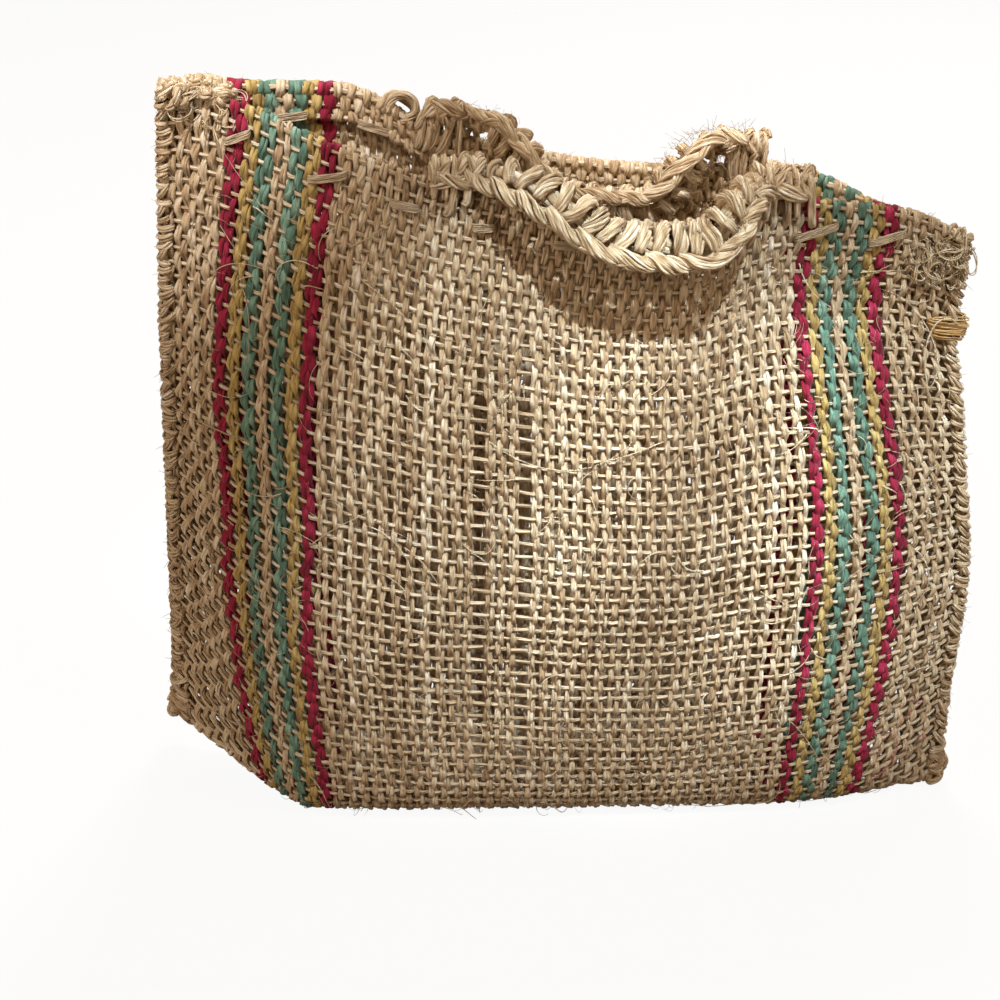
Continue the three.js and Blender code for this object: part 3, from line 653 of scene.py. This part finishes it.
def carried(lines):
    # A sideways direction at each sample, carried along each line without twisting.
    travel = unit(np.gradient(lines, axis=1))
    now = np.where(np.abs(travel[:, 0, 2:]) < 0.8, [[0, 0, 1.0]], [[1.0, 0, 0]])
    across = np.zeros_like(lines)
    for k in range(lines.shape[1]):
        now = unit(now - travel[:, k] * (now * travel[:, k]).sum(1, keepdims=True))
        across[:, k] = now
    return across


class Skein:
    # The strands of one piece, all with the same number of samples.

    def __init__(self, samples, sides=5):
        self.samples, self.sides = samples, sides
        self.lines, self.radii = [], []

    def add(self, lines, radii):
        self.lines.append(np.asarray(lines))
        self.radii.append(np.broadcast_to(radii, self.lines[-1].shape[:2]))

    def bundle(self, points, strands, spread, radius, turns, flat, ends, **rest):
        # A spindle of strands round a smooth line: spread is its half width in the middle, ends the share of
        # it at the ends, flat its height over its width.
        centre = smoothLine(points, self.samples)[None]
        across = carried(centre)
        out = np.cross(unit(np.gradient(centre, axis=1)), across)
        t = np.linspace(0, 1, self.samples)[None, :]
        full = mix(ends, 1, np.sin(math.pi * np.clip(t, 0.02, 0.98)) ** 0.6)
        ring = (np.arange(strands)[:, None] + rng.uniform(0, 1)) / strands * math.tau
        middle = np.sqrt(rng.uniform(0.3, 1, (strands, 1))) if strands > 4 else 1.0
        angle = ring + turns * math.tau * t + rng.normal(0, 0.15, (strands, 1))
        reach = spread * full * middle * (1 + wander(strands, self.samples, 5, 0.12))
        lines = centre + across * (np.cos(angle) * reach)[..., None] + out * (np.sin(angle) * reach * flat)[..., None]
        self.add(lines, radius * mix(0.6, 1, full) * (1 + rng.normal(0, 0.1, (strands, 1))))

    def piece(self, name, finish, replaced=(), body="bag"):
        lines, radii = np.concatenate(self.lines), np.concatenate(self.radii)
        rings = sweep(lines, carried(lines), radii, radii, self.sides)
        tubePiece(name, rings, travelled(lines) + rng.uniform(0, 1, (len(lines), 1)), finish, body, replaced)


# Whip stitches over the side edges, a fat slack one on the right, and the frayed bundles at the corners

stitch = dict(flat=0.75, ends=0.5)
whip = dict(stitch, strands=4, spread=0.0011, radius=0.0007, turns=0.12)
whipped = dict(pitch=0.0042, reach=0.0046, slant=0.0022, low={-1: 0.03, 1: 0.006})
fray = dict(stitch, strands=5, spread=0.0013, radius=0.00075, turns=0.3)
frayed = dict(count=5, pitch=0.0045, reach=0.007, out=0.0006, slant=0.003, low={-1: 0.006, 1: 0.004})
slack = dict(stitch, strands=24, spread=0.0038, radius=0.0004, turns=0.3)
slackened = dict(level=0.852, reach=0.014, out=0.0034, slant=-0.0036)
wallHeight = 0.33


def edgeStitch(skein, edge, h, reach, out, slant, yarn):
    half = mix(shape["baseHalfWidth"], shape["rimHalfWidth"], h)

    def spot(side, inward, proud, lift):
        u = edge * (1 - max(inward, 0) / half)
        point = facePoint(u, np.clip(h + lift / wallHeight, 0.002, 1), side)
        point[1] += side * (proud + 0.0008)
        point[0] -= edge * min(inward, 0)
        return point

    leg = [(reach, -0.0016, slant), (reach * 0.86, 0.0010, slant * 0.8), (reach * 0.35, 0.0014, 0)]
    turn = [spot(-1, -out * 0.8, -0.0008, -slant * 0.4), spot(1, -out, -0.0016, -slant * 0.4)]
    points = [spot(-1, *place) for place in leg] + turn + [spot(1, *place) for place in leg[::-1]]
    skein.bundle(points, **yarn)


def makeSeams():
    for name, edge, rise in (("left", -1, shape["leftRim"]), ("right", 1, shape["rightRim"])):
        skein = Skein(18)
        low = whipped["low"][edge]
        for k in range(int((rise - low) / whipped["pitch"]) + 1):
            h = (low + k * whipped["pitch"] + rng.normal(0, 0.0004)) / rise
            yarn = dict(whip, spread=whip["spread"] * (1 + rng.normal(0, 0.1)))
            edgeStitch(skein, edge, min(h, 0.998), whipped["reach"] * rng.uniform(0.6, 1.4), 0,
                       whipped["slant"] + rng.normal(0, 0.002), yarn)
        skein.piece(name + "_seam_stitches", "stitch", [name + "_seam_yarn"])
        corner = Skein(20)
        for k in range(frayed["count"]):
            h = (frayed["low"][edge] + frayed["pitch"] * k) / rise
            edgeStitch(corner, edge, h, frayed["reach"] + 0.002 * rng.uniform(), frayed["out"],
                       frayed["slant"] + rng.normal(0, 0.002), fray)
        corner.piece(name + "_corner_bundle", "stitch", [name + "_seam_knot"])
    skein = Skein(24)
    for k in range(3):
        edgeStitch(skein, 1, slackened["level"] - 0.007 * k, slackened["reach"] - 0.001 * k,
                   slackened["out"] - 0.0004 * k, slackened["slant"], slack)
    skein.piece("right_seam_slack_stitch", "gold_fibre", ["right_seam_loop"])


makeSeams()
print("side edges are whipped")


# Flat running stitches through the hems

hemStitch = dict(length=0.021, spacing=0.036, drop=0.014, endMargin=0.024, bands=5, width=0.0034, radius=0.00044)


def hemPlaces():
    half, length, spacing = shape["rimHalfWidth"], hemStitch["length"], hemStitch["spacing"]
    count = int((2 * (half - hemStitch["endMargin"]) - length) // spacing) + 1
    lefts = -((count - 1) * spacing + length) / 2 + np.arange(count) * spacing
    return [(x / half, (x + length) / half) for x in lefts]


# Share of its length that each stitch of the front hem shows, and its tilt
frontLook = {0: (0.55, 0.0042), 1: (0.84, 0.0046), 2: (0.6, 0.001), 6: (0.6, 0.002), 7: (1.0, 0.0042),
             8: (0.86, 0.0042)}


def hemRibbon(skein, side, u0, u1, inside, tilt):
    level = 1 - hemStitch["drop"] / ((shape["leftRim"] + shape["rightRim"]) / 2)
    proud = -2 * shape["thickness"] - 0.0016 if inside else 0.0016
    sign = -1 if inside else 1
    middle = []
    for share, lift in ((0.0, -0.003), (0.07, 0.0004), (0.3, 0.0012), (0.7, 0.0012), (0.93, 0.0004), (1.0, -0.003)):
        point = facePoint(mix(u0, u1, share), level, side)
        point[1] += side * (proud + sign * lift)
        point[2] += tilt * (share - 0.5) * 2
        middle.append(point)
    middle = smoothLine(middle, skein.samples)
    share = np.linspace(-0.5, 0.5, hemStitch["bands"])[:, None]
    narrowing = mix(0.6, 1, np.sin(np.linspace(0, math.pi, skein.samples)) ** 0.5)[None, :]
    lines = np.repeat(middle[None], hemStitch["bands"], 0)
    lines[..., 2] += share * hemStitch["width"] * narrowing
    skein.add(lines + rng.normal(0, 0.00008, (hemStitch["bands"], 1, 3)), hemStitch["radius"])


def makeHems():
    for name, side in (("front", -1), ("back", 1)):
        skein = Skein(14)
        places = hemPlaces()
        for k, (u0, u1) in enumerate(places):
            shown, tilt = frontLook.get(k, (0.5, 0.001)) if side < 0 else (0.9, 0.001)
            hemRibbon(skein, side, u0, mix(u0, u1, shown), False, tilt + rng.normal(0, 0.0004))
            if k + 1 < len(places):
                hemRibbon(skein, side, u1, places[k + 1][0], True, 0.001)
        skein.piece(name + "_hem_stitches", "pale", [name + "_hem_yarn"])


makeHems()
print("hems are sewn")


# Rope handles: a core, ribs of bunched strands round it, a chain of slanted links along the lower edge,
# and stitches that tie the rope's ends to the rim

rope = dict(
    coreRadius=0.0045, wrapRadius=0.0105, endRadius=0.006, taper=0.024, stub=0.022,
    turningGap=0.0005, restingGap=0.0018,
    coreStrands=5, halfLay=0.03, coreStrandRadius=0.0021,
    ribPitch=0.0082, ribStart=16, ribSweep=328, linkPitch=0.0148, linkLength=0.0186,
)
rib = dict(strands=15, spread=0.0031, radius=0.00084, flat=0.92, ends=0.65)
link = dict(spread=0.0031, radius=0.00082, flat=0.9, ends=0.25)

handles = [
    dict(name="front", side=-1, roots=(-0.055, 0.093), drop=0.0245, low=0.3, falls=(0.9, 0.72), ridge=112,
         joint="front_handle"),
    dict(name="back", side=1, roots=(-0.057, 0.081), drop=0.031, low=0.1, falls=(0.78, 0.7), ridge=53,
         joint="back_handle"),
]


def rimMiddle(x, side):
    return facePoint(x / shape["rimHalfWidth"], 1.0, side, shape["thickness"])


class Rope:
    # The line of one handle, as the model has it.

    def __init__(self, handle):
        self.name, self.joint, self.side = handle["name"], handle["joint"], handle["side"]
        self.ridge = math.radians(handle["ridge"])
        side, (leftRoot, rightRoot) = self.side, handle["roots"]
        left, right = rimMiddle(leftRoot, side), rimMiddle(rightRoot, side)
        self.along = along = unit(right - left)

        def above(x):
            point = rimMiddle(x, side)
            return point[2] - left[2] - (point[0] - left[0]) * along[2] / along[0]

        stub = rope["stub"]
        girths = ((-stub, rope["coreRadius"]), (stub, rope["endRadius"]),
                  (stub + rope["taper"], mix(rope["endRadius"], rope["wrapRadius"], 0.5)))
        lifts = [above(root + inward * reach / 2) + girth
                 for root, inward in ((leftRoot, 1), (rightRoot, -1)) for reach, girth in girths]
        self.out = unit(np.cross(along, [0, 0, 1]))
        self.up = np.cross(self.out, along)
        self.centre = (left + right) / 2 + [0, 0, max(lifts) + rope["turningGap"]]
        self.halfSpan = np.linalg.norm(right - left) / 2
        self.halfArc = self.halfSpan - stub / 2
        inset = 0 if side < 0 else 2 * shape["thickness"]
        stands = [self.faceOffset(share * self.halfArc, drop * rope["wrapRadius"], inset)
                  for share in (-1, -0.5, 0, 0.5, 1) for drop in ((0, 1, 2, 3) if abs(share) < 1 else (0,))]
        self.rest = max(stands) + rope["wrapRadius"] + rope["restingGap"]
        self.drop, self.low, self.falls = handle["drop"], handle["low"] * self.halfArc, handle["falls"]
        ends = self.halfSpan + stub / 2
        self.s = np.linspace(-ends, ends, 900)
        self.points = self.line(self.s)
        self.arc = travelled(self.points)
        self.length = self.arc[-1]
        travel = unit(np.gradient(self.points, axis=0))
        self.outward = unit(-np.cross(self.up, travel))
        self.top = unit(-np.cross(travel, self.outward))

    def faceOffset(self, s, depth, inset):
        u = (self.centre[0] + s * self.along[0]) / shape["rimHalfWidth"]
        point = facePoint(u, 1 - depth / rimHeight(u, self.side), self.side, inset)
        return (point - self.centre) @ self.out

    def line(self, s):
        before = (s + self.halfArc) / (self.halfArc + self.low) / self.falls[0]
        after = (self.halfArc - s) / (self.halfArc - self.low) / self.falls[1]
        turn = math.pi / 2 * smooth(np.where(s < self.low, before, after))
        out, up = self.rest * np.sin(turn) ** 0.6, -self.drop * mix(1 - np.cos(turn), np.sin(turn) ** 2, 0.5)
        return self.centre + s[:, None] * self.along + out[:, None] * self.out + up[:, None] * self.up

    def radius(self, s):
        return mix(rope["endRadius"], rope["wrapRadius"], smooth((self.halfArc - np.abs(s)) / rope["taper"]))

    def radiusAt(self, arc):
        return self.radius(np.interp(arc, self.arc, self.s))

    def within(self, arc):
        return np.clip(arc, 0.0006, self.length - 0.0006)

    def spot(self, arc, angle, reach):
        # A point at some length along the rope and some angle from its top, reach beyond its own radius.
        arc, angle, reach = np.broadcast_arrays(arc, angle, reach)
        place, outward, top = (np.stack([np.interp(arc, self.arc, table[:, k]) for k in range(3)], -1)
                               for table in (self.points, self.outward, self.top))
        far = (self.radiusAt(arc) + reach)[..., None]
        return place + far * (unit(outward) * np.sin(angle)[..., None] + unit(top) * np.cos(angle)[..., None])


def ropeCore(line):
    skein = Skein(120, 6)
    arc = np.linspace(0.0006, line.length - 0.0006, 120)[None, :]
    count = rope["coreStrands"]
    angle = np.arange(count)[:, None] / count * math.tau + arc / rope["halfLay"] * math.tau / 2
    reach = rope["coreRadius"] * 0.55 - line.radiusAt(arc)
    skein.add(line.spot(arc, angle, reach), rope["coreStrandRadius"])
    skein.piece(line.name + "_rope_core", "rope", [line.name + "_handle_core"], line.joint)


def ropeRibs(line):
    skein = Skein(18)
    t = np.linspace(0, 1, 9)
    fan = np.sin(math.pi * t)
    for arc in np.arange(0.005, line.length - 0.004, rope["ribPitch"]):
        angle = line.ridge + math.radians(rope["ribStart"] + rng.normal(0, 4)) + t * math.radians(rope["ribSweep"])
        lean = rng.normal(0.0018, 0.0022)
        place = line.within(arc + lean * (fan - 0.5) + rng.normal(0, 0.0005, 9))
        taper = line.radiusAt(arc) / rope["wrapRadius"]
        size = taper * (1 + rng.normal(0, 0.16))
        reach = -0.0024 - 0.0008 * (1 - fan) + rng.normal(0.0, 0.0006) * taper
        yarn = dict(rib, spread=rib["spread"] * size, turns=rng.normal(0.7, 0.3))
        skein.bundle(line.spot(place, angle, reach), **yarn)
    skein.piece(line.name + "_rope_ribs", "rope", [line.name + "_handle_wrap"], line.joint)


def ropeChain(line):
    # Each link is a fat bundle with a thin one that crosses under it.
    skein = Skein(14)
    share = np.linspace(0, 1, 6)
    for arc in np.arange(0.010, line.length - 0.007, rope["linkPitch"]):
        stretch = rope["linkLength"] * (1 + rng.normal(0, 0.08))
        place = line.within(arc + (share - 0.5) * stretch)
        for hand, strands, thick in ((1, 13, 1), (-1, 7, 0.6)):
            aside = hand * mix(-0.0026, 0.0018, share) + rng.normal(0, 0.0003)
            lift = mix(-0.0014, 0.0018, share) * hand + 0.001 * np.sin(math.pi * share) + rng.normal(0, 0.0002)
            spread = thick * link["spread"] * (1 + rng.normal(0, 0.1))
            yarn = dict(link, strands=strands, spread=spread, turns=hand * rng.normal(0.4, 0.1))
            skein.bundle(line.spot(place, line.ridge + aside / line.radiusAt(place), lift), **yarn)
    skein.piece(line.name + "_rope_chain", "rope", [line.name + "_handle_ridge"], line.joint)


lash = dict(strands=5, spread=0.0015, radius=0.00082, turns=0.8, flat=0.8, ends=0.7,
            stitches=5, pitch=0.0042, depth=0.0075)
crossing = dict(strands=6, spread=0.0016, radius=0.00075, turns=0.6, flat=0.9, ends=0.35, count=12, reach=0.012)


def lashing(line, end):
    skein = Skein(26)
    root = end * line.halfSpan
    for k in range(lash["stitches"]):
        s = root + (k - 2) * lash["pitch"] + rng.normal(0, 0.0006)
        tilt = rng.normal(0.001, 0.0045)
        centre = line.centre + line.along * s
        foot = (rimMiddle(centre[0], line.side) - centre) @ line.up
        deep = lash["depth"] + rng.uniform(-0.003, 0.004)
        girth = rope["endRadius"] - 0.0004
        path = [(girth * math.cos(a), girth * math.sin(a)) for a in np.radians([-8, 40, 90, 140, 188])]
        for face, hand in ((1, 1), (0, -1)):
            low, high = (sorted(line.faceOffset(s, depth, inset) for inset in (0, 2 * shape["thickness"]))[face]
                         for depth in (deep, 0.004))
            leg = [(low - hand * 0.002, foot - deep), (low + hand * 0.0018, foot - deep + 0.001),
                   (high + hand * 0.0026, foot - 0.003)]
            path = leg + path if face else path + leg[::-1]
        shift = np.linspace(-tilt, tilt, len(path))
        points = [centre + line.along * w + line.out * x + line.up * y for (x, y), w in zip(path, shift)]
        skein.bundle(points, **lash)
    for _ in range(crossing["count"]):
        # Knotted turns that cross over the stitches
        s = root + rng.uniform(-crossing["reach"], crossing["reach"])
        start, sweepAngle = rng.uniform(-0.8, 2.0), rng.choice([-1, 1]) * rng.uniform(1.3, 2.4)
        drift = rng.choice([-1, 1]) * rng.uniform(0.002, 0.009)
        points = []
        for share in np.linspace(0, 1, 7):
            angle = start + sweepAngle * share
            girth = rope["endRadius"] - 0.0006 + 0.0018 * math.sin(math.pi * share)
            centre = line.centre + line.along * (s + drift * share)
            points.append(centre + line.out * girth * math.cos(angle) + line.up * girth * math.sin(angle))
        skein.bundle(points, **crossing)
    side = "left" if end < 0 else "right"
    skein.piece(f"{line.name}_{side}_lashing_stitches", "rope", [f"{line.name}_{side}_lashing"])


lines = [Rope(handle) for handle in handles]
for line in lines:
    ropeCore(line)
    ropeRibs(line)
    ropeChain(line)
    lashing(line, -1)
    lashing(line, 1)
print("handles are wound and tied")


# A slack loop on the back rim

rimLoop = dict(strands=7, spread=0.0018, radius=0.0007, turns=0.8, flat=1.0, ends=0.6,
               place=-0.078, width=0.0066, height=0.0066)
loopOutline = [(-0.7, -0.6), (-0.9, 0.1), (-0.8, 0.7), (-0.2, 1.15), (0.5, 1.1), (0.95, 0.5), (0.8, -0.1),
               (0.5, -0.6)]


def makeRimLoop():
    skein = Skein(30)
    foot = rimMiddle(rimLoop["place"], 1)
    along = unit(rimMiddle(rimLoop["place"] + 0.006, 1) - rimMiddle(rimLoop["place"] - 0.006, 1))
    up = unit(np.array([0, 0, 1]) - along * along[2])
    for k in range(3):
        w, t = rimLoop["width"] * (1 + 0.12 * k), rimLoop["height"] * (1 - 0.2 * k)
        points = [foot + along * x * w + up * z * t + [0, -0.003 + 0.003 * k, 0] for x, z in loopOutline]
        skein.bundle(points, **rimLoop)
    skein.piece("back_rim_slack_loop", "rope", ["back_rim_loop"])


makeRimLoop()


# Curled and knotted yarn where the hems meet the side edges, and round the rope's roots

tangle = dict(turns=0.8, flat=0.9, ends=0.5)
knot = dict(tangle, wide=(0.002, 0.0036), strands=6, spread=0.0015, radius=0.00082)
curl = dict(tangle, wide=(0.003, 0.0065), strands=2, spread=0.0006, radius=0.0003)

tangles = [
    ("top_left_tangle", (-0.168, -0.004, 0.357), (0.0145, 0.008, 0.0035), 40, "rope", knot),
    ("top_left_curls", (-0.163, -0.007, 0.350), (0.014, 0.004, 0.010), 44, "fibre", curl),
    ("top_right_tangle", (0.175, -0.003, 0.2885), (0.007, 0.005, 0.004), 16, "rope", knot),
    ("top_right_curls", (0.169, -0.009, 0.281), (0.014, 0.003, 0.010), 52, "fibre", curl),
    ("bottom_left_tangle", (-0.194, 0.049, 0.025), (0.002, 0.003, 0.006), 9, "rope", knot),
    ("bottom_right_tangle", (0.193, 0.0, 0.012), (0.002, 0.004, 0.007), 9, "rope", knot),
]


def makeTangles():
    for name, middle, size, count, finish, kind in tangles:
        skein = Skein(20)
        for _ in range(count):
            start = np.array(middle) + rng.uniform(-1, 1, 3) * size
            a, b = unit(rng.normal(0, 1, 3)), unit(rng.normal(0, 1, 3))
            turn = np.linspace(0, rng.uniform(1.1, 1.9) * math.pi, 7)
            wide = rng.uniform(*kind["wide"])
            points = [start + wide * (a * math.cos(t) + b * math.sin(t)) for t in turn]
            skein.bundle(points, **kind)
        skein.piece(name, finish)


makeTangles()


# Loose fibres that stand off the cloth, the edges and the handles

clothFuzz = [
    # Piece, finish, samples, and the groups: count, first and last row, length, reach across, thickness
    ("front_fibres", "fibre", 12, [(900, 2, 53, 0.011, (-0.97, 0.97), 1.0), (170, 4, 52, 0.02, (-0.97, 0.97), 2.2)]),
    ("back_fibres", "fibre", 12, [(420, 59, 110, 0.011, (-0.97, 0.97), 1.0)]),
    ("pink_fibres", "pink_fibre", 16, [(6, 44, 51, 0.05, (0.75, 0.97), 1.8)]),
]
edgeFuzz = dict(rimCount=100, rimLength=0.0038, edgeCount=90, edgeLength=0.0032)
handleFuzz = dict(
    fibres=dict(finish="fibre", samples=10, count=380, angles=(0, math.tau), length=0.0036, curl=1.4),
    fluff=dict(finish="gold_fibre", samples=12, count=340, angles=(-1.0, 2.8), length=0.0056, curl=2.2),
)
strayMarks = ((0.9, 0.72, 0.001), (0.9, 0.79, 0.004), (0.93, 0.845, 0.007), (0.965, 0.868, 0.008),
              (1.0, 0.862, 0.005))


def clothFibres(skein, count, firstRow, lastRow, lengths, uRange, thick):
    u0, s0 = rng.uniform(*uRange, count), rng.uniform(firstRow, lastRow, count)
    heading, bend = rng.uniform(0, math.tau, count), rng.normal(0, 1.6, count)
    length = rng.gamma(2.0, lengths / 2, count)
    t = np.linspace(0, 1, skein.samples)
    turn = heading[:, None] + bend[:, None] * t
    step = length[:, None] / skein.samples
    u = u0[:, None] + np.cumsum(np.cos(turn) * step, 1) / (weave["clothWidth"] / 2)
    s = s0[:, None] + np.cumsum(np.sin(turn) * step, 1) / weave["rowPitch"]
    u, s = np.clip(u, -0.985, 0.985), np.clip(s, firstRow - 2, lastRow + 2)
    lift = 0.0012 + np.abs(rng.normal(0, 0.0022, count))[:, None] * np.sin(math.pi * t ** 1.4)
    lift += (np.abs(rng.normal(0, 0.003, count)) * (rng.uniform(size=count) < 0.35))[:, None] * t ** 2
    skein.add(offCloth(u, s, lift), thick * rng.uniform(0.0001, 0.0002, count)[:, None] * (1.1 - 0.7 * t))


def sproutFibres(roots, directions, lengths, skein, curliness=0.75):
    count = len(roots)
    t = np.linspace(0, 1, skein.samples)[None, :, None]
    length = (lengths / (1 + curliness) * rng.uniform(0.3, 1.5, count))[:, None, None]
    first = unit(directions + rng.normal(0, 0.45, (count, 3)))[:, None, :]
    curl = rng.normal(0, curliness, (count, 3))[:, None, :]
    lines = roots[:, None, :] + length * (first * t + curl * t ** 2 * 0.8)
    lines[..., 2] -= length[..., 0] * 0.25 * t[..., 0] ** 2
    skein.add(lines, rng.uniform(0.0001, 0.00019, count)[:, None] * (1.1 - 0.7 * t[..., 0]))


def makeFibres():
    for name, finish, samples, groups in clothFuzz:
        skein = Skein(samples, 3)
        for group in groups:
            clothFibres(skein, *group)
        skein.piece(name, finish)
    rim = Skein(10, 3)
    for row in (0, 2 * weave["halfRows"]):
        u = rng.uniform(-0.99, 0.99, edgeFuzz["rimCount"])
        s = row + rng.uniform(-1.2, 1.2, len(u))
        sproutFibres(offCloth(u, s, 0.0012), lookUp(clothNormals, u, s) + [0, 0, 0.4], edgeFuzz["rimLength"], rim)
    for edge in (-1, 1):
        h = rng.uniform(0.01, 0.99, edgeFuzz["edgeCount"])
        roots = np.array([(facePoint(edge, k, -1) + facePoint(edge, k, 1)) / 2 for k in h]) + [edge * 0.0006, 0, 0]
        sproutFibres(roots, np.repeat([[edge, -0.3, 0.0]], len(h), 0), edgeFuzz["edgeLength"], rim)
    rim.piece("edge_fibres", "fibre")
    stray = Skein(24, 4)
    points = [facePoint(u, h, -1) - [0, off, 0] for u, h, off in strayMarks]
    stray.add(smoothLine(points, stray.samples)[None], 0.0004)
    stray.piece("right_edge_stray_fibre", "fibre")
    for line in lines:
        spans = ((0.01, line.length - 0.01), 1), ((0.66, 0.97), line.length)
        for (label, kind), (span, scale) in zip(handleFuzz.items(), spans):
            skein = Skein(kind["samples"], 3)
            arc = rng.uniform(*span, kind["count"]) * scale
            angle = rng.uniform(*kind["angles"], len(arc))
            roots = line.spot(arc, angle, 0.0003)
            sproutFibres(roots, (roots - line.spot(arc, angle, -0.01)) * 60, kind["length"], skein, kind["curl"])
            skein.piece(f"{line.name}_handle_{label}", kind["finish"], body=line.joint)


makeFibres()
print("fibres are loose")
